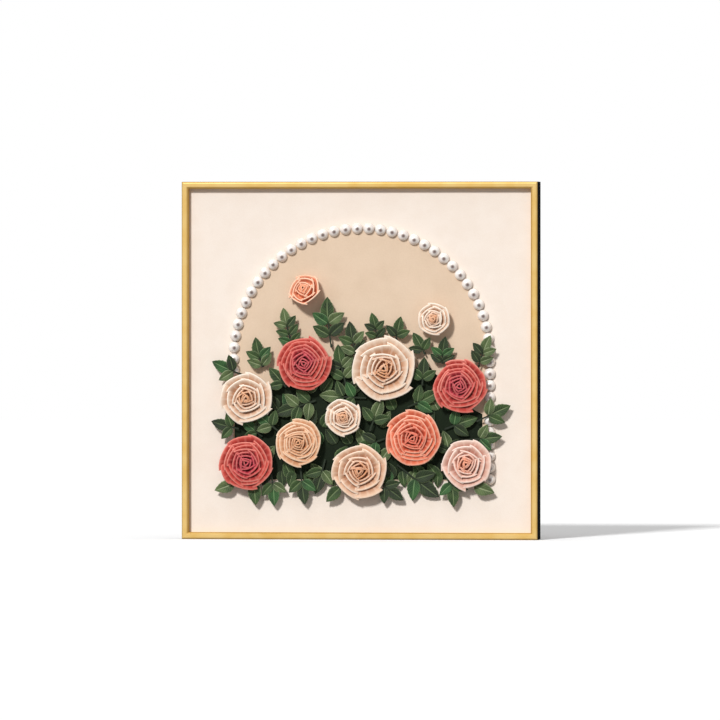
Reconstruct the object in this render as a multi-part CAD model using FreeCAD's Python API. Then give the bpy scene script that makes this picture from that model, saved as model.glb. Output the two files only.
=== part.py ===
# Framed relief of paper roses: spiral-wound roses and folded leaf sprigs glued on a card panel
# with a pearl arch, held in a mitred box frame. One solid, or group of like solids, per piece.
# Millimetres. The picture stands on its lower rail, faces -Y, and X runs to its right.
# Artwork is laid out flat as (x, y, height above the sheet) about the picture's centre, and
# place() then stands it up in the frame. Its places, diameters and leaf lengths are given in
# hundredths of the arch's radius, so they keep together when the sheet or the arch changes.
import FreeCAD, Part
import math
import os
from FreeCAD import Vector

# Sheet, boards and frame
SHEET_SIZE = 300.0
SHEET_THICKNESS = 0.8
BACKING_THICKNESS = 3.0
SHEET_CLEARANCE = 0.5
ARCH_SHARE = 0.3717
RAIL_DEPTH = 30.0
RAIL_WALL = 4.5
RAIL_FACE = 6.0
LIP_DEPTH = 7.0
OUTER_ROUND = 1.8
INNER_BEVEL = 1.7

# Steel darts that hold the backing board, and the saw-tooth hanger on it
DART_WIDTH = 6.0
DART_THICKNESS = 0.5
DART_REACH = 8.0
DART_GRIP = 2.5
DART_OFFSET = 85.0
HANGER_LENGTH = 46.0
HANGER_WIDTH = 9.0
HANGER_THICKNESS = 0.9
HANGER_STANDOFF = 1.6
HANGER_EAR = 9.0
HANGER_TEETH = 8
HANGER_TOOTH = 1.6
HANGER_FROM_TOP = 30.0
SCREW_SHANK = 2.4
SCREW_LENGTH = 2.6
SCREW_HEAD = 4.6
SCREW_HEAD_HEIGHT = 1.2
SCREW_CLEARANCE = 0.15

# Arch of beige card, the flat-backed pearls along its edge and the green ground under the roses
ARCH_RADIUS = ARCH_SHARE * SHEET_SIZE
ARCH_PERCENT = ARCH_RADIUS / 100
ARCH_ASIDE = 1.1 * ARCH_PERCENT
ARCH_SPRING = 2.9 * ARCH_PERCENT
ARCH_CENTRE = Vector(ARCH_ASIDE, ARCH_SPRING, 0)
ARCH_LEG = 96.0 * ARCH_PERCENT
ARCH_CARD = 0.5
PEARL_DIAMETER = 8.95 * ARCH_PERCENT
PEARL_GAP = 0.15
PEARL_SIDES = 7
PEARL_BAND = math.radians(48)
PEARL_LEFT_LEG = 10.8 * ARCH_PERCENT
PEARL_RIGHT_LEG = 95.0 * ARCH_PERCENT
GROUND_PAPER = 0.3
ON_EDGE = 0.01

# Paper of the sprigs and roses, and the room between the layers of leaves
LEAF_PAPER = 0.4
LEAF_FOLD = 1.2
LEAF_PITCH = 0.5
LEAF_GAP = 0.3
LEAF_WIDTH_SHARE = 0.62
LEAF_SHOULDER = (0.34, 1.0)
LEAF_NARROWS = (0.7, 0.78)
PAIR_ANGLE = math.radians(58)
PAIR_SIZE = 0.88
PAIR_SETBACK = 0.3
PAIR_SPACING = 0.58
STEM_WIDTH = 1.4
STEM_FOOT = 2.6
BED_LEAF = 15.0
BED_LEAN = math.radians(58)
BED_ROW = 13.3
BED_COLUMN = 11.4
BED_START = 0.05
BED_MARGIN = 0.4
PETAL_PAPER = 0.55
PETAL_SINK = 2.2
HEART_NARROWS = 0.7
FOOT_SHARE = 0.26

CENTRE_HEIGHT = SHEET_SIZE / 2 + SHEET_CLEARANCE + RAIL_WALL
FRONT_Y = -RAIL_DEPTH / 2
SHEET_Y = FRONT_Y + LIP_DEPTH
PEARL_TOP = ARCH_CARD + PEARL_DIAMETER / 2
LEAF_DEPTH = LEAF_FOLD + LEAF_PITCH + LEAF_PAPER
GROUND_TOP = ARCH_CARD + GROUND_PAPER
MID_TIER = GROUND_TOP + LEAF_DEPTH + LEAF_GAP
HIGH_TIER = max(PEARL_TOP, MID_TIER + LEAF_DEPTH) + LEAF_GAP
TIERS = {"mid": MID_TIER, "high": HIGH_TIER}
PETAL_BASE = HIGH_TIER + LEAF_DEPTH + LEAF_GAP


def flat_face(points):
    return Part.Face(Part.makePolygon([*points, points[0]]))


def solid_of(faces):
    return Part.makeSolid(Part.makeShell(faces))


def place(shape):
    """Stand artwork up in the frame: its height above the sheet becomes -Y, its y becomes +Z."""
    shape.rotate(Vector(), Vector(1, 0, 0), 90)
    shape.translate(Vector(0, SHEET_Y, CENTRE_HEIGHT))
    return shape


def export(name, shape):
    shape.exportStep(f"parts/{name}.step")


def polar(radius, angle, height=0.0):
    return Vector(radius * math.cos(angle), radius * math.sin(angle), height)


def on_art(x, y):
    """Point of the artwork from its x and y in hundredths of the arch's radius."""
    return Vector(x * ARCH_PERCENT, y * ARCH_PERCENT, 0)


def rail_profile():
    """Section of one rail: rounded gilt face, bevelled inner edge, lip and thin side wall."""
    front, back = FRONT_Y, FRONT_Y + RAIL_DEPTH
    round_mid = OUTER_ROUND * (1 - math.sqrt(0.5))
    corners = [
        Vector(0, front, OUTER_ROUND),
        Vector(0, front, RAIL_FACE - INNER_BEVEL),
        Vector(0, front + INNER_BEVEL, RAIL_FACE),
        Vector(0, SHEET_Y, RAIL_FACE),
        Vector(0, SHEET_Y, RAIL_WALL),
        Vector(0, back, RAIL_WALL),
        Vector(0, back, 0),
        Vector(0, front + OUTER_ROUND, 0),
    ]
    nose = Part.Arc(corners[-1], Vector(0, front + round_mid, round_mid), corners[0]).toShape()
    return Part.Face(Part.Wire([*Part.makePolygon(corners).Edges, nose]))


def dart(offset):
    """Flat steel point driven through the lower rail's wall, over the backing board."""
    start = Vector(offset, SHEET_Y + SHEET_THICKNESS + BACKING_THICKNESS, RAIL_WALL - DART_GRIP)
    half, shoulder = DART_WIDTH / 2, DART_GRIP + DART_REACH - DART_WIDTH / 2
    outline = [(-half, 0), (half, 0), (half, shoulder), (0, DART_GRIP + DART_REACH), (-half, shoulder)]
    face = flat_face([start + Vector(x, 0, z) for x, z in outline])
    return face.extrude(Vector(0, DART_THICKNESS, 0))


def turned(shape, quarter):
    copy = shape.copy()
    copy.rotate(Vector(0, 0, CENTRE_HEIGHT), Vector(0, 1, 0), -90 * quarter)
    return copy


def make_frame():
    half = CENTRE_HEIGHT
    run = Vector(2 * half, 0, 0)
    length = rail_profile().extrude(run)
    length.translate(Vector(-half, 0, 0))
    mitre = flat_face([Vector(-half, FRONT_Y, 0), Vector(half, FRONT_Y, 0), Vector(0, FRONT_Y, half)])
    rail = length.common(mitre.extrude(Vector(0, RAIL_DEPTH, 0))).Solids[0]
    darts = [dart(-DART_OFFSET), dart(DART_OFFSET)]
    for point in darts:
        rail = rail.cut(point)
    for quarter, name in enumerate(["bottom_rail", "right_rail", "top_rail", "left_rail"]):
        export(name, turned(rail, quarter))
    export("backing_darts", Part.makeCompound([turned(point, q) for q in range(4) for point in darts]))


def screw_places():
    """Points on the back of the board where the hanger's two screws go in, as (x, z)."""
    z = 2 * CENTRE_HEIGHT - HANGER_FROM_TOP
    reach = (HANGER_LENGTH - HANGER_EAR) / 2
    return [(-reach, z), (reach, z)]


def make_boards():
    """Background sheet, and the backing board with its two screw holes behind it."""
    side = SHEET_SIZE
    corner = Vector(-side / 2, SHEET_Y, CENTRE_HEIGHT - side / 2)
    export("background_sheet", Part.makeBox(side, SHEET_THICKNESS, side, corner))
    corner.y += SHEET_THICKNESS
    board = Part.makeBox(side, BACKING_THICKNESS, side, corner)
    back = corner.y + BACKING_THICKNESS
    for x, z in screw_places():
        hole = Part.makeCylinder(SCREW_SHANK / 2 + SCREW_CLEARANCE, SCREW_LENGTH,
                                 Vector(x, back, z), Vector(0, -1, 0))
        board = board.cut(hole)
    export("backing_board", board)


def make_hanger():
    """Pressed steel hanger: flat ears on the board, a raised bridge with teeth, two screws."""
    back = SHEET_Y + SHEET_THICKNESS + BACKING_THICKNESS
    z = 2 * CENTRE_HEIGHT - HANGER_FROM_TOP
    end, ear = HANGER_LENGTH / 2, HANGER_LENGTH / 2 - HANGER_EAR
    bridge = ear - HANGER_STANDOFF
    top, skin = HANGER_STANDOFF, HANGER_THICKNESS
    strip = [(-end, 0), (-ear, 0), (-bridge, top), (bridge, top), (ear, 0), (end, 0),
             (end, skin), (ear + skin / 2, skin), (bridge + skin / 2, top + skin),
             (-bridge - skin / 2, top + skin), (-ear - skin / 2, skin), (-end, skin)]
    low, high = z - HANGER_WIDTH / 2, z + HANGER_WIDTH / 2
    plate = flat_face([Vector(x, back + y, low) for x, y in strip]).extrude(Vector(0, 0, high - low))
    pitch = 2 * bridge / HANGER_TEETH
    for index in range(HANGER_TEETH):
        left = -bridge + index * pitch
        notch = flat_face([Vector(left, back, low), Vector(left + pitch / 2, back, low + HANGER_TOOTH),
                           Vector(left + pitch, back, low)])
        plate = plate.cut(notch.extrude(Vector(0, top + 2 * skin, 0)))
    screws = []
    for x, height in screw_places():
        axis = Vector(0, -1, 0)
        seat = Vector(x, back + skin, height)
        plate = plate.cut(Part.makeCylinder(SCREW_SHANK / 2 + SCREW_CLEARANCE, skin, seat, axis))
        shank = Part.makeCylinder(SCREW_SHANK / 2, skin + SCREW_LENGTH, seat, axis)
        head = Part.makeCone(SCREW_HEAD / 2, SCREW_SHANK / 2, SCREW_HEAD_HEIGHT, seat, -axis)
        screws.append(shank.fuse(head).removeSplitter())
    export("sawtooth_hanger", plate)
    export("hanger_screws", Part.makeCompound(screws))


def arch_face():
    """Tombstone outline, straight at the foot and a half circle at the top."""
    left, right = ARCH_CENTRE.x - ARCH_RADIUS, ARCH_CENTRE.x + ARCH_RADIUS
    spring, foot = ARCH_CENTRE.y, ARCH_CENTRE.y - ARCH_LEG
    legs = Part.makePolygon([Vector(left, spring, 0), Vector(left, foot, 0),
                             Vector(right, foot, 0), Vector(right, spring, 0)])
    crown = Part.Arc(Vector(right, spring, 0), ARCH_CENTRE + Vector(0, ARCH_RADIUS, 0),
                     Vector(left, spring, 0)).toShape()
    return Part.Face(Part.Wire([*legs.Edges, crown]))


# Outline of the green ground paper, which keeps clear of the stems of the upper roses
GROUND_OUTLINE = [(-98, -92.4), (95.5, -92.4), (95.5, -41.5), (79, -33), (52, -2), (20, -18),
                  (-12.5, 7), (-43, -14.5), (-71.5, -18), (-88, -42), (-98, -45)]
ARCH_FACE = arch_face()
GROUND_FACE = flat_face([on_art(x, y) for x, y in GROUND_OUTLINE])


def make_cards():
    """The beige arch and, on it, the green ground that closes the bed between the roses."""
    export("arch_card", place(ARCH_FACE.extrude(Vector(0, 0, ARCH_CARD))))
    ground = GROUND_FACE.extrude(Vector(0, 0, GROUND_PAPER))
    ground.translate(Vector(0, 0, ARCH_CARD))
    export("leaf_ground", place(ground))


def surface_height(point):
    """Height of whatever a foot at a point is glued to: ground paper, arch card or sheet."""
    if GROUND_FACE.isInside(point, ON_EDGE, True):
        return GROUND_TOP
    return ARCH_CARD if ARCH_FACE.isInside(point, ON_EDGE, True) else 0.0


def pearl():
    """Flat-backed half-round pearl as a faceted dome, its flat side on height 0."""
    radius = PEARL_DIAMETER / 2
    bands = [0, PEARL_BAND]
    rings = [[polar(radius * math.cos(rise), 2 * math.pi * side / PEARL_SIDES, radius * math.sin(rise))
              for side in range(PEARL_SIDES)] for rise in bands]
    faces = [flat_face(rings[0][::-1])]
    top = Vector(0, 0, radius)
    for side in range(PEARL_SIDES):
        following = (side + 1) % PEARL_SIDES
        for lower, upper in zip(rings, rings[1:]):
            faces.append(flat_face([lower[side], lower[following], upper[following], upper[side]]))
        faces.append(flat_face([rings[-1][side], rings[-1][following], top]))
    return solid_of(faces)


def arch_point(distance):
    """Point on the pearl line, by distance along it from the lowest pearl of the left leg."""
    crown = math.pi * ARCH_RADIUS
    if distance < PEARL_LEFT_LEG:
        return ARCH_CENTRE + Vector(-ARCH_RADIUS, distance - PEARL_LEFT_LEG, 0)
    along = distance - PEARL_LEFT_LEG
    if along < crown:
        return ARCH_CENTRE + polar(ARCH_RADIUS, math.pi - along / ARCH_RADIUS)
    return ARCH_CENTRE + Vector(ARCH_RADIUS, crown - along, 0)


def make_pearls():
    length = PEARL_LEFT_LEG + math.pi * ARCH_RADIUS + PEARL_RIGHT_LEG
    count = int(length // (PEARL_DIAMETER + PEARL_GAP))
    master = pearl()
    pearls = []
    for index in range(count + 1):
        copy = master.copy()
        copy.translate(arch_point(length * index / count) + Vector(0, 0, ARCH_CARD))
        pearls.append(copy)
    export("arch_pearls", place(Part.makeCompound(pearls)))


# How a rose's paper strip is wound. Shares are of the rose's radius; heights are above the
# layer where the petals leave the stem, and are given for the heart and for the last turn.
OPEN_ROSE = {"turns": 3.5, "steps": 14, "per_petal": 4, "heart": 0.17, "notch": 0.10, "swell": 1.25,
             "rise": (9.0, 3.4), "dip": 1.3, "lean": 0}
DENSE_ROSE = {"turns": 4.5, "steps": 13, "per_petal": 2, "heart": 0.13, "notch": 0.07, "swell": 1.2,
              "rise": (8.0, 4.2), "dip": 0.7, "lean": 0}
BUD_ROSE = {"turns": 2.5, "steps": 12, "per_petal": 4, "heart": 0.22, "notch": 0.08, "swell": 1.1,
            "rise": (7.0, 3.6), "dip": 1.0, "lean": 30}
BUD_FACING = math.radians(125)

# Name, winding, centre x and y, diameter, turn of the strip's end in degrees
ROSES = [
    ("rose_bud_peach", BUD_ROSE, -42.0, 54.5, 25.1, 120),
    ("rose_cream_top_right", OPEN_ROSE, 58.5, 32.2, 26.0, 40),
    ("rose_red_left", DENSE_ROSE, -42.8, -2.2, 44.8, 10),
    ("rose_cream_centre", OPEN_ROSE, 19.8, -6.1, 51.1, 200),
    ("rose_red_right", DENSE_ROSE, 78.8, -19.8, 43.9, 75),
    ("rose_cream_far_left", OPEN_ROSE, -87.7, -29.6, 41.3, 330),
    ("rose_cream_small", OPEN_ROSE, -11.9, -44.0, 29.6, 150),
    ("rose_tan_lower_left", DENSE_ROSE, -47.1, -63.9, 38.6, 215),
    ("rose_coral_lower_right", DENSE_ROSE, 42.1, -60.4, 45.7, 300),
    ("rose_red_lower_left", DENSE_ROSE, -87.7, -79.6, 44.8, 130),
    ("rose_blush_bottom", OPEN_ROSE, 0.6, -85.8, 43.9, 260),
    ("rose_pink_lower_right", OPEN_ROSE, 83.9, -80.4, 39.5, 20),
]


def petal_outline(index, per_petal):
    """0 in the notch between two petals, rising to 1 at a petal's middle."""
    return math.sin(math.pi * (index % per_petal) / per_petal)


def rim_points(winding, radius, index, valley):
    """Inner and outer edge of the strip's rim, one paper thickness apart, above a valley point."""
    share = index / (winding["turns"] * winding["steps"])
    lobe = petal_outline(index, winding["per_petal"])
    reach = winding["heart"] + (1 - winding["heart"]) * (1 - (1 - share) ** winding["swell"])
    reach *= 1 - winding["notch"] * (1 - lobe)
    first, last = winding["rise"]
    rise = first + (last - first) * share - winding["dip"] * (1 - lobe)
    angle = 2 * math.pi * index / winding["steps"]
    run, climb = radius * reach - math.hypot(valley.x, valley.y), PETAL_BASE + rise - valley.z
    slant = math.hypot(run, climb)
    inner = polar(radius * reach, angle, PETAL_BASE + rise)
    outer = inner + polar(PETAL_PAPER * climb / slant, angle, -PETAL_PAPER * run / slant)
    return inner, outer


def wound_rose(winding, radius, foot_height):
    """One strip of paper wound from the heart outwards, every turn a ring of notched petals.

    The strip's lower edge runs down a shallow cone; two neighbouring turns share the valley
    between them, and the last turn closes onto the short stem that is glued to the panel.
    """
    steps = winding["steps"]
    total = int(winding["turns"] * steps)
    heart, base = winding["heart"] * radius * HEART_NARROWS, FOOT_SHARE * radius

    def valley_point(index):
        share = index / (total + steps)
        return polar(heart + (base - heart) * share, 2 * math.pi * index / steps,
                     PETAL_BASE + PETAL_SINK * (1 - share))

    valley = [valley_point(index) for index in range(total + steps + 1)]
    rims = [rim_points(winding, radius, index, valley[index]) for index in range(total + 1)]
    foot = [polar(base, 2 * math.pi * (total + index) / steps, foot_height) for index in range(steps)]
    core = Vector(0, 0, PETAL_BASE + PETAL_SINK + heart)
    triangles = []

    def band(a, b, c, d):
        triangles.append((a, b, c))
        triangles.append((a, c, d))

    for index in range(total):
        (inner, outer), (next_inner, next_outer) = rims[index], rims[index + 1]
        band(valley[index], inner, next_inner, valley[index + 1])
        band(inner, outer, next_outer, next_inner)
        band(outer, valley[index + steps], valley[index + steps + 1], next_outer)
    for index in range(steps):
        triangles.append((core, valley[index], valley[index + 1]))
        band(valley[total + index], foot[index], foot[(index + 1) % steps], valley[total + index + 1])
    triangles.append((core, valley[steps], valley[0]))
    triangles.append((valley[total], valley[total + steps], foot[0]))
    band(valley[0], valley[steps], rims[0][1], rims[0][0])
    band(valley[total], rims[total][0], rims[total][1], valley[total + steps])
    return solid_of([flat_face(triangle) for triangle in triangles] + [flat_face(foot[::-1])])


def make_roses():
    for name, winding, x, y, diameter, turn in ROSES:
        centre, radius = on_art(x, y), diameter * ARCH_PERCENT / 2
        ground, lean = surface_height(centre), winding["lean"]
        spare = FOOT_SHARE * radius * math.tan(math.radians(lean))
        rose = wound_rose(winding, radius, ground - spare)
        rose.rotate(Vector(), Vector(0, 0, 1), turn)
        if lean:
            rose.rotate(Vector(0, 0, PETAL_BASE), polar(1, BUD_FACING + math.pi / 2), lean)
            room = Part.makeBox(4 * radius, 4 * radius, 4 * radius, Vector(-2 * radius, -2 * radius, ground))
            rose = rose.common(room).Solids[0]
        rose.translate(centre)
        export(name, place(rose))


# Sprigs: name, root x and y, tip x and y, pairs of leaflets, leaflet length, layer
SPRIGS = [
    ("sprig_inner_left", -52.0, 9.0, -60.0, 41.0, 3, 11.4, "high"),
    ("sprig_under_bud", -22.0, 10.5, -26.5, 49.5, 2, 16.0, "high"),
    ("sprig_upper_pair", -2.5, 3.5, -8.5, 30.5, 2, 13.2, "high"),
    ("sprig_above_cream_left", 14.2, 15.2, 10.6, 37.5, 2, 10.2, "high"),
    ("sprig_above_cream_right", 28.2, 15.2, 32.4, 34.5, 1, 12.0, "high"),
    ("sprig_below_top_right_a", 51.1, 5.2, 43.0, 22.4, 1, 12.0, "high"),
    ("sprig_below_top_right_b", 64.5, -2.0, 66.0, 19.0, 2, 11.6, "high"),
    ("sprig_right_top", 92.4, -5.4, 101.3, 20.2, 2, 12.0, "high"),
    ("sprig_left_upper", -75.8, -5.0, -82.0, 18.0, 2, 13.0, "high"),
    ("sprig_far_left", -92.4, -10.8, -115.5, -1.5, 1, 14.0, "high"),
    ("sprig_left_gap_a", -94.5, -53.0, -116.0, -48.0, 1, 13.0, "high"),
    ("sprig_left_gap_b", -76.5, -59.0, -92.0, -46.0, 1, 12.0, "mid"),
    ("sprig_left_gap_c", -63.7, -54.5, -82.0, -40.0, 1, 13.5, "high"),
    ("sprig_red_left_side", -57.5, -20.5, -70.0, -5.0, 1, 13.0, "high"),
    ("sprig_red_left_below", -34.5, -31.0, -66.4, -42.0, 2, 15.5, "mid"),
    ("sprig_between_red_cream", -11.0, -18.0, -18.0, 12.5, 2, 14.0, "mid"),
    ("sprig_centre_dark", 5.0, -29.0, -31.5, -27.5, 2, 14.5, "mid"),
    ("sprig_small_rose_right", 8.1, -54.5, 17.5, -29.0, 1, 14.5, "high"),
    ("sprig_small_rose_below", 19.5, -60.5, -4.0, -69.5, 1, 13.8, "mid"),
    ("sprig_centre_right_up", 49.0, -19.0, 51.0, 3.0, 1, 13.4, "high"),
    ("sprig_centre_right_low", 37.5, -36.0, 63.0, -24.5, 1, 15.0, "mid"),
    ("sprig_right_low_a", 66.5, -53.0, 92.0, -43.5, 1, 15.0, "mid"),
    ("sprig_right_outer", 91.5, -47.0, 118.0, -34.5, 1, 14.6, "high"),
    ("sprig_right_low_b", 81.5, -61.5, 111.5, -59.0, 1, 13.5, "high"),
    ("sprig_right_inner", 70.5, -74.0, 66.5, -54.0, 1, 12.6, "mid"),
    ("sprig_bottom_far_left", -96.0, -94.5, -112.5, -102.5, 0, 15.0, "high"),
    ("sprig_bottom_left_a", -83.0, -89.0, -81.0, -112.5, 0, 15.6, "high"),
    ("sprig_bottom_left_b", -68.8, -88.0, -65.5, -113.0, 1, 13.4, "high"),
    ("sprig_bottom_left_c", -46.0, -84.0, -43.0, -112.0, 1, 14.2, "high"),
    ("sprig_bottom_left_d", -27.0, -77.0, -34.1, -104.0, 1, 14.5, "mid"),
    ("sprig_bottom_centre_left", -11.5, -95.5, -26.5, -109.0, 0, 14.5, "high"),
    ("sprig_bottom_centre_right", 15.0, -95.0, 35.0, -107.5, 1, 13.6, "high"),
    ("sprig_bottom_big", 29.5, -81.0, 61.5, -106.5, 1, 18.0, "mid"),
    ("sprig_bottom_right_a", 71.5, -89.0, 74.5, -113.5, 1, 14.0, "high"),
    ("sprig_bottom_right_b", 85.5, -95.5, 105.0, -103.5, 0, 15.5, "high"),
]


def thickened(skin, depth):
    """Closed solid between an upper skin of polygons and the same skin lowered by the depth."""
    edges = [(a, b) for polygon in skin for a, b in zip(polygon, polygon[1:] + polygon[:1])]

    def face(points, drops):
        return flat_face([Vector(x, y, z - drop) for (x, y, z), drop in zip(points, drops)])

    faces = []
    for polygon in skin:
        faces.append(face(polygon, [0] * len(polygon)))
        faces.append(face(polygon[::-1], [depth] * len(polygon)))
    faces += [face([b, a, a, b], [0, 0, depth, depth]) for a, b in edges if (b, a) not in edges]
    return solid_of(faces)


def leaflet_skin(root, angle, length, seat=()):
    """Upper skin of an ovate leaflet: two flat halves that rise to both sides of its midrib.

    A leaflet that grows from a stem has a seat, the two points where it joins the stem's edge.
    """
    half_width = LEAF_WIDTH_SHARE * length / 2
    along, across = polar(1, angle), polar(1, angle + math.pi / 2)

    def point(run, side):
        spot = root + along * (run * length) + across * (half_width * side)
        return (spot.x, spot.y, root.z + LEAF_FOLD * abs(side) + LEAF_PITCH * run)

    middle, tip = point(0, 0), point(1, 0)
    left, right = ([point(run, side * share) for run, share in (LEAF_SHOULDER, LEAF_NARROWS)]
                   for side in (1, -1))
    skin = [[middle, tip, left[1], left[0]], [middle, right[0], right[1], tip]]
    if seat:
        skin += [[middle, left[0], seat[0]], [middle, seat[1], right[0]]]
    return skin


def leaf_sprig(root, tip, pairs, leaf_length, height):
    """One cut sprig: a stem strip with its end folded down as a glue foot, and its leaflets."""
    run = tip - root
    angle = math.atan2(run.y, run.x)
    half = STEM_WIDTH / 2
    stem = max(run.Length - leaf_length, STEM_FOOT)
    knots = [max(stem - leaf_length * (PAIR_SETBACK + PAIR_SPACING * index), STEM_WIDTH)
             for index in range(pairs)]
    end = (stem, 0.0, LEAF_PAPER)
    skin = leaflet_skin(Vector(*end), 0, leaf_length,
                        [(stem, half, LEAF_PAPER), (stem, -half, LEAF_PAPER)])
    edges = {1: [], -1: []}
    for knot in knots:
        for side in (1, -1):
            seat = [(knot - side * half, side * half, LEAF_PAPER),
                    (knot + side * half, side * half, LEAF_PAPER)]
            middle = Vector(knot, side * half, LEAF_PAPER)
            skin += leaflet_skin(middle, side * PAIR_ANGLE, leaf_length * PAIR_SIZE, seat)
            edges[side] += sorted([*seat, tuple(middle)], reverse=True)
    stem_top = [(0.0, half, LEAF_PAPER), (0.0, -half, LEAF_PAPER), *edges[-1][::-1],
                (stem, -half, LEAF_PAPER), end, (stem, half, LEAF_PAPER), *edges[1]]
    sprig = thickened([*skin, stem_top], LEAF_PAPER)
    ground = surface_height(root)
    foot = Part.makeBox(STEM_FOOT, STEM_WIDTH, height - ground, Vector(0, -half, ground - height))
    sprig = sprig.fuse(foot)
    sprig.rotate(Vector(), Vector(0, 0, 1), math.degrees(angle))
    sprig.translate(root + Vector(0, 0, height))
    return sprig


def make_sprigs():
    for name, root_x, root_y, tip_x, tip_y, pairs, leaf_length, tier in SPRIGS:
        root, tip = on_art(root_x, root_y), on_art(tip_x, tip_y)
        sprig = leaf_sprig(root, tip, pairs, leaf_length * ARCH_PERCENT, TIERS[tier])
        export(name, place(sprig))


def clear_of(start, end, width, obstacles):
    """Whether a leaf of that width along a line stays off every round obstacle."""
    middle, reach = (start + end) / 2, (end - start).Length / 2
    direction = (end - start).normalize()
    for centre, radius in obstacles:
        offset = (centre - middle).dot(direction)
        nearest = middle + direction * max(-reach, min(reach, offset))
        if (centre - nearest).Length < radius + width / 2 + BED_MARGIN:
            return False
    return True


def bed_obstacles():
    """Round places on the ground that a rose's stem or a sprig's foot takes up."""
    taken = [(on_art(x, y), FOOT_SHARE * diameter * ARCH_PERCENT / 2)
             for _, _, x, y, diameter, _ in ROSES]
    for _, root_x, root_y, tip_x, tip_y, *_ in SPRIGS:
        root, tip = on_art(root_x, root_y), on_art(tip_x, tip_y)
        taken.append((root + (tip - root).normalize() * (STEM_FOOT / 2), STEM_FOOT / 2))
    return taken


def make_bed():
    """Rows of single leaves glued flat on the ground, leaning to and fro, off stems and feet."""
    taken = bed_obstacles()
    length, pitch, row_pitch = (share * ARCH_PERCENT for share in (BED_LEAF, BED_COLUMN, BED_ROW))
    box = GROUND_FACE.BoundBox
    leaves = []
    for row in range(int(box.YLength / row_pitch) + 1):
        lean = BED_LEAN if row % 2 else math.pi - BED_LEAN
        for column in range(int(box.XLength / pitch) + 2):
            start = Vector(box.XMin + column * pitch, box.YMin + (row + BED_START) * row_pitch, 0)
            end = start + polar(length, lean)
            on_ground = all(GROUND_FACE.isInside(point, ON_EDGE, True) for point in (start, end))
            if on_ground and clear_of(start, end, LEAF_WIDTH_SHARE * length, taken):
                start.z = GROUND_TOP + LEAF_PAPER
                leaves.append(thickened(leaflet_skin(start, lean, length), LEAF_PAPER))
    export("bed_leaves", place(Part.makeCompound(leaves)))


make_frame()
make_boards()
make_hanger()
make_cards()
make_pearls()
make_roses()
make_sprigs()
make_bed()
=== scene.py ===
import math
import random

import bmesh
import bpy
from mathutils import Matrix, Vector


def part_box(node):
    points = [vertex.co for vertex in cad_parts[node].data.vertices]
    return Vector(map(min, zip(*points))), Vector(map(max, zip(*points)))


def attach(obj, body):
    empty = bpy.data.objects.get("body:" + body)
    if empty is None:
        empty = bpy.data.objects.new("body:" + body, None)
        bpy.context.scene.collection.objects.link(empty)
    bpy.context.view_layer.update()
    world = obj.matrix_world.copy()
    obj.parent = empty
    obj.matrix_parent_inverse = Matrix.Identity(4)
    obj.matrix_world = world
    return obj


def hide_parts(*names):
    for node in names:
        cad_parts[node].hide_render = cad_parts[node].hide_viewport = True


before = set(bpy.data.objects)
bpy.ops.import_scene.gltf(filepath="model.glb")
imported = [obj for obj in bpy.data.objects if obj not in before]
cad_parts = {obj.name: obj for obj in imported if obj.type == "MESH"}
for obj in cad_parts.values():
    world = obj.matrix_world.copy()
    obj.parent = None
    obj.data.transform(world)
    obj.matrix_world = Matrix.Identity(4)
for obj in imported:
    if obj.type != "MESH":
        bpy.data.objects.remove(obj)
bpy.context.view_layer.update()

# Frame rails: four mitred lengths of one slim wooden moulding, glued at the corners. The face and
# the inner bevel are gilded, with painted shade in a deeper gold on the bevel and along the outer
# edge of the face. The outer sides and the back are painted a dull black.
MM = 0.001
RAILS = ["bottom_rail", "right_rail", "top_rail", "left_rail"]
FRAME_LOW, FRAME_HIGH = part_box("bottom_rail")[0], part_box("top_rail")[1]
HALF_FRAME = (FRAME_HIGH.x - FRAME_LOW.x) / 2
CENTRE_Z = (FRAME_LOW.z + FRAME_HIGH.z) / 2
SHEET_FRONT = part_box("background_sheet")[0].y
FLAT_FACE = 3 * MM
BEVEL_TOP, BEVEL_FOOT = 0.3 * MM, 1.2 * MM
GILT_EDGE = 1.1 * MM
EDGE_SHADE_WIDTH = 1.2 * MM
SIDE_DEPTH = 0.2 * MM
GILT, GILT_WORN, GILT_SHADE = "#E2C07C", "#D9B062", "#AE8238"
GILT_METAL = 0.25
LACQUER, LACQUER_DUSTY = "#252527", "#323235"


def tint(hex_colour):
    """Linear colour of a #RRGGBB paint."""
    parts = [int(hex_colour[start:start + 2], 16) / 255 for start in (1, 3, 5)]
    linear = [((part + 0.055) / 1.055) ** 2.4 if part > 0.04045 else part / 12.92 for part in parts]
    return linear + [1.0]


class Flow:
    """An output of a shader node. Arithmetic on it adds Math nodes."""

    def __init__(self, wiring, socket):
        self.wiring = wiring
        self.socket = socket

    def math(self, operation, *values):
        return self.wiring.node("ShaderNodeMath", {"operation": operation}, dict(enumerate(values)))

    def output(self, name):
        return Flow(self.wiring, self.socket.node.outputs[name])

    def __add__(self, other):
        return self.math("ADD", self, other)

    def __sub__(self, other):
        return self.math("SUBTRACT", self, other)

    def __rsub__(self, other):
        return self.math("SUBTRACT", other, self)

    def __mul__(self, other):
        return self.math("MULTIPLY", self, other)

    def __lt__(self, other):
        return self.math("LESS_THAN", self, other)

    def __gt__(self, other):
        return self.math("GREATER_THAN", self, other)

    def __abs__(self):
        return self.math("ABSOLUTE", self)

    def larger(self, other):
        return self.math("MAXIMUM", self, other)

    def wave(self):
        return self.math("SINE", self)

    __radd__ = __add__
    __rmul__ = __mul__


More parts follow.
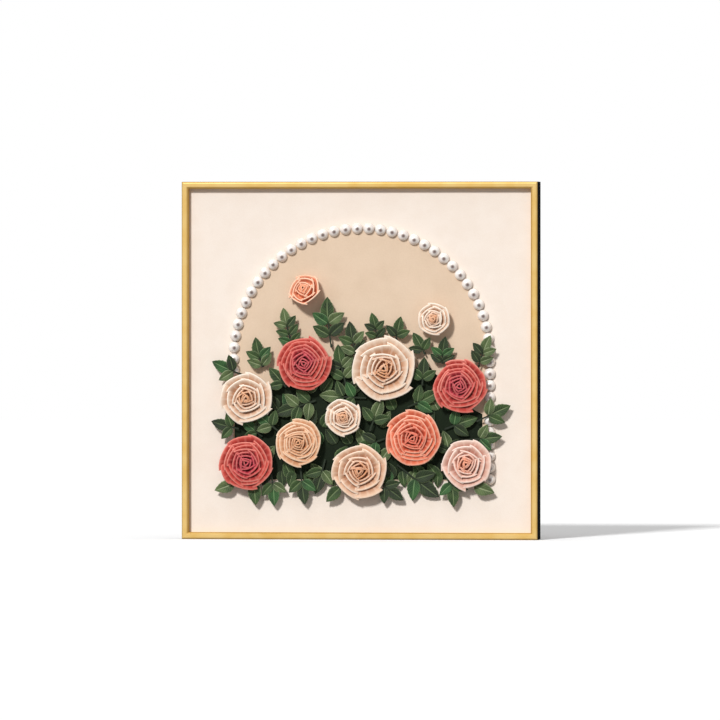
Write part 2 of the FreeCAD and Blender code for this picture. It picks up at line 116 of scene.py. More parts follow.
class Wiring:
    """The nodes before one shader, and one way to add any node."""

    def __init__(self, owner, shader):
        owner.use_nodes = True
        self.tree = owner.node_tree
        self.shader = self.tree.nodes[shader]

    def link(self, value, socket):
        if isinstance(value, Flow):
            self.tree.links.new(value.socket, socket)
        else:
            socket.default_value = value

    def node(self, kind, settings, inputs):
        """Add a node: its settings first, then its inputs by name or number."""
        node = self.tree.nodes.new(kind)
        for key, value in settings.items():
            setattr(node, key, value)
        for key, value in inputs.items():
            self.link(value, node.inputs[key])
        return Flow(self, next(socket for socket in node.outputs if socket.enabled))

    def place(self):
        """Where a point lies in the frame, in metres."""
        return self.node("ShaderNodeTexCoord", {}, {}).output("Object")

    def chart(self, layer):
        """Where a point lies on the flat paper, from one of the piece's own UV maps."""
        return self.node("ShaderNodeUVMap", {"uv_map": layer}, {})

    def axes(self, vector):
        split = self.node("ShaderNodeSeparateXYZ", {}, {0: vector})
        return split, split.output("Y"), split.output("Z")

    def noise(self, vector, scale, detail=2.0):
        """Soft noise, with its scale in cells a metre."""
        return self.node("ShaderNodeTexNoise", {}, {"Vector": vector, "Scale": scale, "Detail": detail})

    def ease(self, value, start, end):
        """0 before start, 1 after end, smooth between."""
        inputs = {"Value": value, "From Min": start, "From Max": end}
        return self.node("ShaderNodeMapRange", {"interpolation_type": "SMOOTHSTEP"}, inputs)

    def blend(self, amount, first, second):
        """Mix two colours, the node's inputs 6 and 7, by an amount from 0 to 1."""
        return self.node("ShaderNodeMix", {"data_type": "RGBA"}, {0: amount, 6: first, 7: second})

    def seen(self):
        """1 for a ray that shows the studio itself: to the camera, or off metal or through glass."""
        rays = self.node("ShaderNodeLightPath", {}, {})
        return rays.larger(rays.output("Is Glossy Ray")).larger(rays.output("Is Transmission Ray"))

    def bump(self, height, distance, strength):
        inputs = {"Height": height, "Distance": distance, "Strength": strength}
        self.feed("Normal", self.node("ShaderNodeBump", {}, inputs))

    def feed(self, socket, value):
        self.link(value, self.shader.inputs[socket])


class Finish(Wiring):
    """A procedural material, with its shader's plain values."""

    def __init__(self, name, plain):
        self.material = bpy.data.materials.new(name)
        super().__init__(self.material, "Principled BSDF")
        for socket, value in plain.items():
            self.feed(socket, value)

    def wear(self, *node_names):
        """Give the finish to whole CAD nodes."""
        for node_name in node_names:
            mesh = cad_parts[node_name].data
            mesh.materials.clear()
            mesh.materials.append(self.material)


def moulding_finish():
    finish = Finish("gilt_and_black_moulding", {"Specular IOR Level": 0.0})
    place = finish.place()
    x, y, z = finish.axes(place)
    from_centre = abs(x).larger(abs(z - CENTRE_Z))
    side = (from_centre > HALF_FRAME - SIDE_DEPTH) * (y > FRAME_LOW.y + GILT_EDGE)
    black = side.larger(y > SHEET_FRONT)
    # Painted shade: a deeper gold on the inner bevel and along the outer edge of the face, alike on all
    # four rails.
    inner = from_centre < HALF_FRAME - FLAT_FACE
    bevel = finish.ease(y, FRAME_LOW.y + BEVEL_TOP, FRAME_LOW.y + BEVEL_FOOT) * inner
    edge_shade = finish.ease(from_centre, HALF_FRAME - EDGE_SHADE_WIDTH, HALF_FRAME)
    leaf = finish.noise(place, 60.0, 3.0)
    fine = finish.noise(place, 1400.0)
    gilt = finish.blend(finish.ease(leaf, 0.3, 0.8), tint(GILT), tint(GILT_WORN))
    gilt = finish.blend(edge_shade.larger(bevel) * 0.7, gilt, tint(GILT_SHADE))
    lacquer = finish.blend(finish.ease(fine, 0.3, 0.7), tint(LACQUER), tint(LACQUER_DUSTY))
    finish.feed("Base Color", finish.blend(black, gilt, lacquer))
    finish.feed("Metallic", (1 - black) * GILT_METAL)
    finish.feed("Roughness", 0.34 + leaf * 0.14 + black * 0.3)
    finish.bump(fine, 0.02 * MM, 0.5)
    return finish


moulding_finish().wear(*RAILS)

# Background sheet: one square of heavy cream art paper, matt and slightly felted, which shows
# all round the flowers. It lies in the rails' rebate against the backing board.
SHEET_GRAIN, CARD_GRAIN = 900.0, 700.0


def art_paper(name, colour, mottle, grain):
    """Matt, faintly mottled paper with a felt grain of about a millimetre."""
    finish = Finish(name, {"Roughness": 0.9, "Specular IOR Level": 0.25})
    place = finish.place()
    cloud = finish.noise(place, 55.0, 3.0)
    felt = finish.noise(place, grain, 3.0)
    shade = finish.ease(cloud, 0.3, 0.75) * 0.6 + finish.ease(felt, 0.35, 0.8) * 0.4
    finish.feed("Base Color", finish.blend(shade, tint(colour), tint(mottle)))
    finish.bump(felt, 0.12 * MM, 0.6)
    return finish


art_paper("cream_sheet", "#FBEEE2", "#F6E7D9", SHEET_GRAIN).wear("background_sheet")

# Backing: a hardboard square behind the sheet, held by flat steel darts in the rails, with a
# pressed saw-tooth hanger on two screws. None of it shows from the front.


def hardboard():
    finish = Finish("backing_hardboard", {"Roughness": 0.78, "Specular IOR Level": 0.3})
    place = finish.place()
    fibre = finish.noise(place, 420.0, 6.0)
    blotch = finish.noise(place, 24.0)
    shade = finish.ease(fibre, 0.35, 0.7) * 0.6 + finish.ease(blotch, 0.3, 0.7) * 0.4
    finish.feed("Base Color", finish.blend(shade, tint("#8A6443"), tint("#6E4D33")))
    finish.bump(fibre, 0.1 * MM, 0.5)
    return finish


def plated_steel(name, colour, roughness):
    finish = Finish(name, {"Metallic": 1.0})
    smear = finish.noise(finish.place(), 260.0, 4.0)
    finish.feed("Base Color", finish.blend(smear, tint(colour), tint("#8F9296")))
    finish.feed("Roughness", roughness + smear * 0.18)
    finish.bump(smear, 0.03 * MM, 0.4)
    return finish


hardboard().wear("backing_board")
plated_steel("dart_steel", "#A9ABAD", 0.32).wear("backing_darts")
plated_steel("hanger_plating", "#C4C6C9", 0.24).wear("sawtooth_hanger", "hanger_screws")

# Arch card: a thin beige card cut to a round-topped arch and glued flat on the sheet, as the
# ground for the flowers.
art_paper("beige_arch_card", "#E9D0B6", "#E0C6AB", CARD_GRAIN).wear("arch_card")

# Pearls: flat-backed half pearls glued in a close row round the edge of the arch card, from the
# left roses over the top and down the right side. Each stands where its CAD solid stands.
CARD_TOP = SHEET_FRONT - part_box("arch_card")[0].y
WELD = 0.001
PEARL_SEGMENTS, PEARL_RINGS = 24, 16
PEARL_WHITE, PEARL_CREAM, PEARL_REFLECTION_DOT = "#FBF6F0", "#F3E6DE", "#6E564E"
REFLECTION_DOT_PLACE, REFLECTION_DOT_SPREAD = (0.12, -0.14), 0.5
TO_THE_FRONT = math.radians(90)


def solids_of(node_name):
    """The corner points of each separate solid in a group node."""
    mesh = bmesh.new()
    mesh.from_mesh(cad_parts[node_name].data)
    bmesh.ops.remove_doubles(mesh, verts=mesh.verts[:], dist=WELD * MM)
    left, solids = set(mesh.verts), []
    for seed in mesh.verts:
        if seed in left:
            solid, border = {seed}, [seed]
            while border:
                near = {edge.other_vert(vert) for vert in border for edge in vert.link_edges}
                border = list(near - solid)
                solid |= near
            left -= solid
            solids.append([vert.co.copy() for vert in mesh.verts if vert in solid])
    mesh.free()
    return solids


def middle_of(points):
    """Middle of the box round some points."""
    return Vector([(min(axis) + max(axis)) / 2 for axis in zip(*points)])


def add_piece(name, mesh_data, finishes, node_name):
    """Turn a finished bmesh into a piece that stands for a CAD node."""
    mesh = bpy.data.meshes.new(name)
    mesh_data.to_mesh(mesh)
    mesh_data.free()
    for finish in finishes:
        mesh.materials.append(finish.material)
    piece = bpy.data.objects.new(name, mesh)
    bpy.context.scene.collection.objects.link(piece)
    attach(piece, "root")
    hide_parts(node_name)
    return piece


def pearl_finish():
    """Glossy coated pearl: white at the shoulder, with a painted reflection, a soft brown spot a little
    off its middle.
    """
    finish = Finish("pearl", {"Roughness": 0.16, "Coat Roughness": 0.05, "Coat IOR": 1.6})
    reflection_dot = finish.node("ShaderNodeAttribute", {"attribute_name": "reflection_dot"}, {}).output("Fac")
    cloud = finish.noise(finish.place(), 300.0)
    white = finish.blend(finish.ease(cloud, 0.35, 0.7), tint(PEARL_WHITE), tint(PEARL_CREAM))
    # Painted reflection: a soft brown spot a little off the middle of each pearl's dome, where the coat
    # is also thinner.
    finish.feed("Base Color", finish.blend(finish.ease(reflection_dot, 0.0, 0.75), white, tint(PEARL_REFLECTION_DOT)))
    finish.feed("Coat Weight", 1 - reflection_dot * 0.6)
    return finish


def add_pearl(pearls, reflection_dot, radius, middle):
    """A ball cut off at its equator, closed by a flat back and turned to face the front."""
    ball = bmesh.ops.create_uvsphere(pearls, u_segments=PEARL_SEGMENTS, v_segments=PEARL_RINGS,
                                     radius=radius)["verts"]
    dome = [vert for vert in ball if vert.co.z > -WELD * MM]
    under = [vert for vert in ball if vert.co.z <= -WELD * MM]
    bmesh.ops.delete(pearls, geom=under, context="VERTS")
    rim = [edge for edge in pearls.edges if edge.is_boundary]
    back = bmesh.ops.holes_fill(pearls, edges=rim, sides=0)["faces"]
    for vert in dome:
        # How strongly the painted reflection shows at each point of the dome.
        spread = math.dist((vert.co.x / radius, vert.co.y / radius), REFLECTION_DOT_PLACE)
        vert[reflection_dot] = max(0.0, 1 - spread / REFLECTION_DOT_SPREAD) if vert.co.z > 0 else 0.0
        for face in vert.link_faces:
            face.smooth = face not in back
    bmesh.ops.rotate(pearls, verts=dome, matrix=Matrix.Rotation(TO_THE_FRONT, 3, "X"))
    bmesh.ops.translate(pearls, verts=dome, vec=middle)


def make_pearls():
    pearls = bmesh.new()
    reflection_dot = pearls.verts.layers.float.new("reflection_dot")
    places = solids_of("arch_pearls")
    radius = SHEET_FRONT - CARD_TOP - min(point.y for point in places[0])
    for points in places:
        centre = middle_of(points)
        add_pearl(pearls, reflection_dot, radius, (centre.x, SHEET_FRONT - CARD_TOP, centre.z))
    add_piece("pearls", pearls, [pearl_finish()], "arch_pearls")


make_pearls()

# Green ground: a dark paper glued on the card under the flowers, so that no card shows between the
# leaves of the bed. Its near-black green is painted shade, for the deep shade between the leaves.
art_paper("painted_shade_ground_paper", "#1A2614", "#0D160A", CARD_GRAIN).wear("leaf_ground")

# Leaf sprigs: each is cut from one piece of green paper, a stem strip with ovate leaflets that
# are creased along the midrib, and a folded-down end that is glued to the panel. Places and
# lengths are in hundredths of the arch's radius, heights and widths of paper in millimetres.
ARCH_PERCENT = (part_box("arch_card")[1].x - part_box("arch_card")[0].x) / 2 / MM / 100
LEAF_PAPER = 0.3
LEAF_FOLD = 1.2
LEAF_PITCH = 0.5
LEAF_ARCH = 0.25
LEAF_WIDTH_SHARE = 0.62
LEAF_BELLY, LEAF_FULLNESS = 0.74, 0.85
LEAF_LENGTHWAYS, LEAF_CROSSWAYS = 12, 8
LEAF_CURL, LEAF_TWIST, LEAF_BEND = (-0.2, 0.4), (-0.25, 0.25), (-0.1, 0.1)
VEIN_PITCH, VEIN_SLANT = 52, 15
TOOTH_DEPTH, TOOTH_PITCH, TOOTHED_FROM = 0.045, 40, 0.9
STEM_WIDTH = 1.4
STEM_FOOT = 2.6
LEAF_ASIDE = STEM_WIDTH / 4
PAIR_SIZE, PAIR_SETBACK, PAIR_SPACING = 0.93, 0.3, 0.58
PAIR_ANGLE, PAIR_WANDER = math.radians(58), (-0.12, 0.06)
# Heights over the sheet of the two layers of sprigs
MID, HIGH = 3.2, 5.8
# Name, root x and y, tip x and y, pairs of leaflets, leaflet length, layer
SPRIGS = [
    ("sprig_inner_left", -52.0, 9.0, -60.0, 41.0, 3, 11.4, HIGH),
    ("sprig_under_bud", -22.0, 10.5, -26.5, 49.5, 2, 16.0, HIGH),
    ("sprig_upper_pair", -2.5, 3.5, -8.5, 30.5, 2, 13.2, HIGH),
    ("sprig_above_cream_left", 14.2, 15.2, 10.6, 37.5, 2, 10.2, HIGH),
    ("sprig_above_cream_right", 28.2, 15.2, 32.4, 34.5, 1, 12.0, HIGH),
    ("sprig_below_top_right_a", 51.1, 5.2, 43.0, 22.4, 1, 12.0, HIGH),
    ("sprig_below_top_right_b", 64.5, -2.0, 66.0, 19.0, 2, 11.6, HIGH),
    ("sprig_right_top", 92.4, -5.4, 101.3, 20.2, 2, 12.0, HIGH),
    ("sprig_left_upper", -75.8, -5.0, -82.0, 18.0, 2, 13.0, HIGH),
    ("sprig_far_left", -92.4, -10.8, -115.5, -1.5, 1, 14.0, HIGH),
    ("sprig_left_gap_a", -94.5, -53.0, -116.0, -48.0, 1, 13.0, HIGH),
    ("sprig_left_gap_b", -76.5, -59.0, -92.0, -46.0, 1, 12.0, MID),
    ("sprig_left_gap_c", -63.7, -54.5, -82.0, -40.0, 1, 13.5, HIGH),
    ("sprig_red_left_side", -57.5, -20.5, -70.0, -5.0, 1, 13.0, HIGH),
    ("sprig_red_left_below", -34.5, -31.0, -66.4, -42.0, 2, 15.5, MID),
    ("sprig_between_red_cream", -11.0, -18.0, -18.0, 12.5, 2, 14.0, MID),
    ("sprig_centre_dark", 5.0, -29.0, -31.5, -27.5, 2, 14.5, MID),
    ("sprig_small_rose_right", 8.1, -54.5, 17.5, -29.0, 1, 14.5, HIGH),
    ("sprig_small_rose_below", 19.5, -60.5, -4.0, -69.5, 1, 13.8, MID),
    ("sprig_centre_right_up", 49.0, -19.0, 51.0, 3.0, 1, 13.4, HIGH),
    ("sprig_centre_right_low", 37.5, -36.0, 63.0, -24.5, 1, 15.0, MID),
    ("sprig_right_low_a", 66.5, -53.0, 92.0, -43.5, 1, 15.0, MID),
    ("sprig_right_outer", 91.5, -47.0, 118.0, -34.5, 1, 14.6, HIGH),
    ("sprig_right_low_b", 81.5, -61.5, 111.5, -59.0, 1, 13.5, HIGH),
    ("sprig_right_inner", 70.5, -74.0, 66.5, -54.0, 1, 12.6, MID),
    ("sprig_bottom_far_left", -96.0, -94.5, -112.5, -102.5, 0, 15.0, HIGH),
    ("sprig_bottom_left_a", -83.0, -89.0, -81.0, -112.5, 0, 15.6, HIGH),
    ("sprig_bottom_left_b", -68.8, -88.0, -65.5, -113.0, 1, 13.4, HIGH),
    ("sprig_bottom_left_c", -46.0, -84.0, -43.0, -112.0, 1, 14.2, HIGH),
    ("sprig_bottom_left_d", -27.0, -77.0, -34.1, -104.0, 1, 14.5, MID),
    ("sprig_bottom_centre_left", -11.5, -95.5, -26.5, -109.0, 0, 14.5, HIGH),
    ("sprig_bottom_centre_right", 15.0, -95.0, 35.0, -107.5, 1, 13.6, HIGH),
    ("sprig_bottom_big", 29.5, -81.0, 61.5, -106.5, 1, 18.0, MID),
    ("sprig_bottom_right_a", 71.5, -89.0, 74.5, -113.5, 1, 14.0, HIGH),
    ("sprig_bottom_right_b", 85.5, -95.5, 105.0, -103.5, 0, 15.5, HIGH),
]


def on_panel(x, y, height):
    """A point of the artwork, in millimetres about its centre, as a place in the frame."""
    return Vector((x * MM, SHEET_FRONT - height * MM, CENTRE_Z + y * MM))


def stand_up(mesh_data):
    """Move artwork from flat millimetres, height last, to its place in the frame."""
    for vert in mesh_data.verts:
        vert.co = on_panel(*vert.co)


def leaf_paper(name, face, deep, edge):
    """Green paper with a pale crease on the midrib, fine side veins and lighter cut edges."""
    finish = Finish(name, {"Roughness": 0.72, "Specular IOR Level": 0.35})
    along, across, _ = finish.axes(finish.chart("leaf"))
    from_rib = abs(across - 0.5) * 2
    veins = (along * VEIN_PITCH - from_rib * VEIN_SLANT).wave()
    vein_line = finish.ease(veins, 0.72, 1.0) * finish.ease(from_rib, 0.02, 0.3)
    rib = 1 - finish.ease(from_rib, 0.02, 0.13)
    margin = finish.ease(from_rib, 0.82, 1.0) * finish.ease(along, 0.0, 0.1)
    cloud = finish.noise(finish.place(), 130.0, 3.0)
    fibre = finish.noise(finish.place(), 1500.0)
    paper = finish.blend(finish.ease(cloud, 0.3, 0.72), tint(face), tint(deep))
    paper = finish.blend(finish.ease(along, 0.35, 0.0) * 0.7, paper, tint(deep))
    lit = rib.larger(margin * 0.8).larger(vein_line * 0.32)
    finish.feed("Base Color", finish.blend(lit * 0.7, paper, tint(edge)))
    finish.bump(fibre * 0.25 - vein_line * 0.6 + rib, 0.12 * MM, 0.8)
    return finish


LEAF_FINISHES = [
    leaf_paper("leaf_dark", "#223317", "#111B0B", "#6A7A52"),
    leaf_paper("leaf_mid", "#375026", "#1B2D13", "#8A9A6C"),
    leaf_paper("leaf_sage", "#5C6E42", "#364625", "#B2BC94"),
    leaf_paper("leaf_bright", "#30592C", "#183518", "#84A570"),
]
LEAF_MIX = [0, 0, 1, 1, 1, 2, 2, 3]


def leaf_width(along):
    """Half width of an ovate leaflet, 0 at both ends and 1 at its widest."""
    return max(math.sin(math.pi * along ** LEAF_BELLY), 0.0) ** LEAF_FULLNESS


def add_leaflet(sprig, start, heading, length, height, chance):
    """Crease a square of paper into one leaflet: two curved halves that rise from the midrib."""
    paper = bmesh.ops.create_grid(sprig, x_segments=LEAF_LENGTHWAYS, y_segments=LEAF_CROSSWAYS,
                                  size=0.5, calc_uvs=True)["verts"]
    finish = chance.choice(LEAF_MIX)
    curl, twist = chance.uniform(*LEAF_CURL), chance.uniform(*LEAF_TWIST)
    bend = chance.uniform(*LEAF_BEND) * length
    half = LEAF_WIDTH_SHARE * length / 2
    for vert in paper:
        along, side = vert.co.x + 0.5, 2 * vert.co.y
        width = leaf_width(along)
        tooth = 1 + TOOTH_DEPTH * math.sin(along * TOOTH_PITCH) if abs(side) > TOOTHED_FROM else 1.0
        sweep = half * side * width * tooth + bend * along * along
        arch = math.sin(math.pi * abs(side)) * LEAF_ARCH * width
        lift = LEAF_FOLD * abs(side) * width + arch + LEAF_PITCH * along
        lift = lift + curl * along ** 3 + twist * side * along
        run = along * length
        x = start[0] + run * math.cos(heading) - sweep * math.sin(heading)
        y = start[1] + run * math.sin(heading) + sweep * math.cos(heading)
        vert.co = (x, y, height + max(lift, 0.0))
    for face in {face for vert in paper for face in vert.link_faces}:
        face.material_index = finish
    bmesh.ops.remove_doubles(sprig, verts=paper, dist=WELD)


def add_stem(sprig, root, heading, length, height):
    """The stem strip, whose root end is folded down to the panel and under, as a glued foot."""
    glued = CARD_TOP / MM + LEAF_PAPER
    folds = [(STEM_FOOT, glued), (0, glued), (0, height), (length, height)]
    strip = bmesh.ops.create_grid(sprig, x_segments=len(folds) - 1, y_segments=1, size=0.5)["verts"]
    for vert in strip:
        run, rise = folds[round((vert.co.x + 0.5) * (len(folds) - 1))]
        aside = vert.co.y * STEM_WIDTH
        x = root[0] + run * math.cos(heading) - aside * math.sin(heading)
        y = root[1] + run * math.sin(heading) + aside * math.cos(heading)
        vert.co = (x, y, rise)


def add_sprig(sprig, root, tip, pairs, leaf_length, height, chance):
    """One stem with a leaflet at its tip and pairs of leaflets along it."""
    run = math.dist(root, tip)
    heading = math.atan2(tip[1] - root[1], tip[0] - root[0])
    stem = max(run - leaf_length, STEM_FOOT)

    def on_stem(distance, aside=0.0):
        return (root[0] + math.cos(heading) * distance - math.sin(heading) * aside,
                root[1] + math.sin(heading) * distance + math.cos(heading) * aside)

    add_stem(sprig, root, heading, stem, height)
    add_leaflet(sprig, on_stem(stem - STEM_WIDTH), heading, leaf_length + STEM_WIDTH, height, chance)
    for index in range(pairs):
        knot = max(stem - leaf_length * (PAIR_SETBACK + PAIR_SPACING * index), STEM_WIDTH)
        for side in (1, -1):
            turn = heading + side * (PAIR_ANGLE + chance.uniform(*PAIR_WANDER))
            start = on_stem(knot, side * LEAF_ASIDE)
            add_leaflet(sprig, start, turn, leaf_length * PAIR_SIZE, height, chance)


def on_midrib(edge, uv):
    """Whether an edge lies on a leaflet's midrib, the middle line of its flat paper."""
    rows = [loop[uv].uv.y for face in edge.link_faces for loop in face.loops if loop.vert in edge.verts]
    return len(rows) > 0 and all(math.isclose(row, 0.5, abs_tol=0.01) for row in rows)


def finish_leaves(leaves, name, node_name):
    """Stand leaves up in the frame, crease them along the midrib and give them paper thickness."""
    stand_up(leaves)
    uv = leaves.loops.layers.uv["UVMap"]
    for face in leaves.faces:
        face.smooth = any(loop[uv].uv.length > 0 for loop in face.loops)
    for edge in leaves.edges:
        edge.smooth = not on_midrib(edge, uv)
    piece = add_piece(name, leaves, LEAF_FINISHES, node_name)
    piece.data.uv_layers[0].name = "leaf"
    paper = piece.modifiers.new("paper", "SOLIDIFY")
    paper.thickness = LEAF_PAPER * MM
    paper.offset = 1.0


def new_leaves():
    leaves = bmesh.new()
    leaves.loops.layers.uv.new("UVMap")
    return leaves


def make_sprigs():
    for seed, (name, root_x, root_y, tip_x, tip_y, pairs, leaf_length, height) in enumerate(SPRIGS):
        root = (root_x * ARCH_PERCENT, root_y * ARCH_PERCENT)
        tip = (tip_x * ARCH_PERCENT, tip_y * ARCH_PERCENT)
        leaves = new_leaves()
        add_sprig(leaves, root, tip, pairs, leaf_length * ARCH_PERCENT, height, random.Random(seed))
        finish_leaves(leaves, name.replace("sprig", "leaves"), name)


make_sprigs()

# Bed leaves: single creased leaves glued by their midrib on the green ground, in rows that lean
# to and fro between the feet of the sprigs and roses. Each lies where its CAD solid lies, and a
# fringe of shorter ones hangs over the ground's lower edge.
BED_SEED = 100
FRINGE_LEAVES = 16
FRINGE_REACH, FRINGE_ROOT = 71.0, -85.5
FRINGE_LENGTH = 14.5
FRINGE_LEAN, FRINGE_WANDER = 16, (-0.2, 0.2)
DOWNWARD = -90


def off_panel(point):
    """A place in the frame as flat millimetres about the artwork's centre, height last."""
    return point.x / MM, (point.z - CENTRE_Z) / MM, (SHEET_FRONT - point.y) / MM


def add_fringe(leaves, chance):
    """Short leaves in a row along the ground's lower edge, leaning left and right in turn."""
    ground_top = (SHEET_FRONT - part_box("leaf_ground")[0].y) / MM
    for index in range(FRINGE_LEAVES):
        root_x = (index / (FRINGE_LEAVES - 1) - 0.5) * 2 * FRINGE_REACH * ARCH_PERCENT
        lean = FRINGE_LEAN if index % 2 else -FRINGE_LEAN
        heading = math.radians(DOWNWARD + lean) + chance.uniform(*FRINGE_WANDER)
        root = (root_x, FRINGE_ROOT * ARCH_PERCENT)
        add_leaflet(leaves, root, heading, FRINGE_LENGTH, ground_top, chance)


def make_bed_leaves():
    leaves, chance = new_leaves(), random.Random(BED_SEED)
    for points in solids_of("bed_leaves"):
        flat = [off_panel(point) for point in points]
        pairs = ((first, last) for first in flat for last in flat if first[2] <= last[2])
        (x, y, low), (tip_x, tip_y, _) = max(pairs, key=lambda pair: math.dist(*pair))
        heading = math.atan2(tip_y - y, tip_x - x)
        add_leaflet(leaves, (x, y), heading, math.dist((x, y), (tip_x, tip_y)), low, chance)
    add_fringe(leaves, chance)
    finish_leaves(leaves, "bed_leaves_paper", "bed_leaves")


make_bed_leaves()

# Roses: each is one long paper strip, folded into petals with rolled rims and wound outwards from
# a tight heart. Its lower edge is glued to a short paper stem that stands on the panel. Heights
# and widths of paper are in millimetres.
PETAL_BASE = 8.2
PETAL_PAPER = 0.35
FOOT_SHARE = 0.26
STEM_SIDES, STEM_TAPER = 28, 0.96
SINK = 2.2
HEART_SHARE = 0.7
PETAL_COLUMNS = 7
PETAL_OVERLAP = 0.24
PETAL_VARIETY = 0.24
WALL_ROWS, LIP_ROWS = 7, 5
LIP_ROLL = math.radians(215)
LIP_ROOM = 1.7
FOLD_SOFTNESS = 0.92
ROUND_INNER, ROUND_ADDED = 0.05, 0.2
END_TUCK, END_TILT = 0.07, 0.2
PINWHEEL_INNER, PINWHEEL_LOST, PINWHEEL_RAGGED = 0.05, 0.022, 0.014
RAGGED_REACH, RAGGED_RISE = 0.02, 0.3
INNER_DIP = 0.3
PETAL_CREASES, CREASE_SHIFT = 21, 9
# Rim of each turn as a share of the radius and its number of petals. Then in millimetres: rise of
# the first and the last rim, dip of a petal's ends, radius of the rolled lip, swell of the wall
# and unevenness. Last the lean in degrees.
OPEN_ROSE = {"rings": (0.08, 0.18, 0.29, 0.41, 0.57, 0.81, 1.06), "petals": (3, 3, 4, 5, 5, 6, 6),
             "rise": (7.0, 3.0), "dip": 1.4, "lip": 0.7, "cup": 0.9, "ragged": 1.5, "lean": 0}
DENSE_ROSE = {"rings": (0.08, 0.18, 0.30, 0.43, 0.57, 0.71, 0.85, 1.0),
              "petals": (3, 4, 4, 5, 5, 6, 6, 7),
              "rise": (6.9, 3.4), "dip": 1.1, "lip": 0.62, "cup": 0.4, "ragged": 1.7, "lean": 0}
BUD_ROSE = {"rings": (0.12, 0.32, 0.56, 0.83, 1.12), "petals": (3, 4, 4, 5, 5),
            "rise": (5.8, 3.2), "dip": 0.9, "lip": 0.55, "cup": 3.2, "ragged": 1.1, "lean": 30}
BUD_FACING = math.radians(125)


def rose_paper(name, heart, face, fold_shade_and_mottle, rim, depth=0.9):
    """Matt paper with painted shade deep in the folds and a painted highlight on the rolled rims,
    warmer towards the heart.
    """
    finish = Finish(name, {"Roughness": 0.82, "Specular IOR Level": 0.25})
    along, across, _ = finish.axes(finish.chart("strip"))
    part, tone, _ = finish.axes(finish.chart("petal"))
    place = finish.place()
    cloud = finish.noise(place, 240.0, 3.0)
    fibre = finish.noise(place, 1700.0)
    outwards = finish.ease(along, 0.15, 0.7)
    paper = finish.blend(outwards, tint(heart), tint(face))
    # Painted shade: darker low on the strip, deep in the troughs below each rim, as strong as the depth
    # given.
    paper = finish.blend(finish.ease(across, 0.6, 0.36) * depth, paper, tint(fold_shade_and_mottle))
    # Darker patches and petals at random, in the same colour.
    paper = finish.blend(finish.ease(cloud + tone * 0.5, 0.55, 1.05) * 0.3, paper, tint(fold_shade_and_mottle))
    crease = (part * PETAL_CREASES + tone * CREASE_SHIFT).wave()
    paper = finish.blend(finish.ease(crease, 0.2, 1.0) * 0.18, paper, tint(rim))
    # Painted highlight: paler on the rolled rims, more so on the outer petals.
    rolled = finish.ease(across, 0.52, 0.66) * (0.6 + tone * 0.4)
    paper = finish.blend(rolled * (0.3 + outwards * 0.7), paper, tint(rim))
    finish.feed("Base Color", paper)
    finish.bump(fibre * 0.3 + crease * 0.3, 0.12 * MM, 0.8)
    return finish


RED = rose_paper("red_paper", "#C0324E", "#CB4A3F", "#6C1216", "#F2998A")
CORAL = rose_paper("coral_paper", "#DF563D", "#F07E5C", "#9A321E", "#FFCBB0")
TAN = rose_paper("tan_paper", "#DA9461", "#EAB188", "#A9693F", "#FFE3C6")
PEACH = rose_paper("peach_paper", "#F3966C", "#F9AD89", "#CC7A52", "#FFDDC2", 0.5)
CREAM = rose_paper("cream_paper", "#DE8D45", "#F5D9C0", "#BE8660", "#FFF3E4")
BLUSH = rose_paper("blush_paper", "#DA8542", "#F0C9AA", "#B47A58", "#FFE9D5")
PINK = rose_paper("pink_paper", "#EE8A58", "#F5CDBA", "#BE7F6C", "#FFE9DD")
# CAD node, winding, paper, slot, centre x and y and diameter in hundredths of the arch's radius,
# turn of the strip's start in degrees
ROSES = [
    ("rose_bud_peach", BUD_ROSE, PEACH, "peach_paper", -42.0, 54.5, 25.1, 120),
    ("rose_cream_top_right", OPEN_ROSE, CREAM, "cream_paper", 58.5, 32.2, 26.0, 40),
    ("rose_red_left", DENSE_ROSE, RED, "red_paper", -42.8, -2.2, 44.8, 10),
    ("rose_cream_centre", OPEN_ROSE, CREAM, "cream_paper", 19.8, -6.1, 51.1, 200),
    ("rose_red_right", DENSE_ROSE, RED, "red_paper", 78.8, -19.8, 43.9, 75),
    ("rose_cream_far_left", OPEN_ROSE, CREAM, "cream_paper", -87.7, -29.6, 41.3, 330),
    ("rose_cream_small", OPEN_ROSE, CREAM, "cream_paper", -11.9, -44.0, 29.6, 150),
    ("rose_tan_lower_left", DENSE_ROSE, TAN, "tan_paper", -47.1, -63.9, 38.6, 215),
    ("rose_coral_lower_right", DENSE_ROSE, CORAL, "coral_paper", 42.1, -60.4, 45.7, 300),
    ("rose_red_lower_left", DENSE_ROSE, RED, "red_paper", -87.7, -79.6, 44.8, 130),
    ("rose_blush_bottom", OPEN_ROSE, BLUSH, "blush_paper", 0.6, -85.8, 43.9, 260),
    ("rose_pink_lower_right", OPEN_ROSE, PINK, "blush_paper", 83.9, -80.4, 39.5, 20),
]


def petal_plan(winding, chance):
    """Each petal of the strip: its turn as a share, rim share, start angle, span, quirks and tone."""
    petals, angle = [], 0.0
    for ring, (reach, count) in enumerate(zip(winding["rings"], winding["petals"])):
        share = ring / (len(winding["rings"]) - 1)
        widths = [1 + chance.uniform(-PETAL_VARIETY, PETAL_VARIETY) for _ in range(count)]
        for width in widths:
            span = 2 * math.pi * width / sum(widths)
            quirks = [chance.uniform(-1, 1) * winding["ragged"] for _ in range(3)]
            petals.append((share, reach, angle, span, quirks, chance.random()))
            angle += span
    return petals


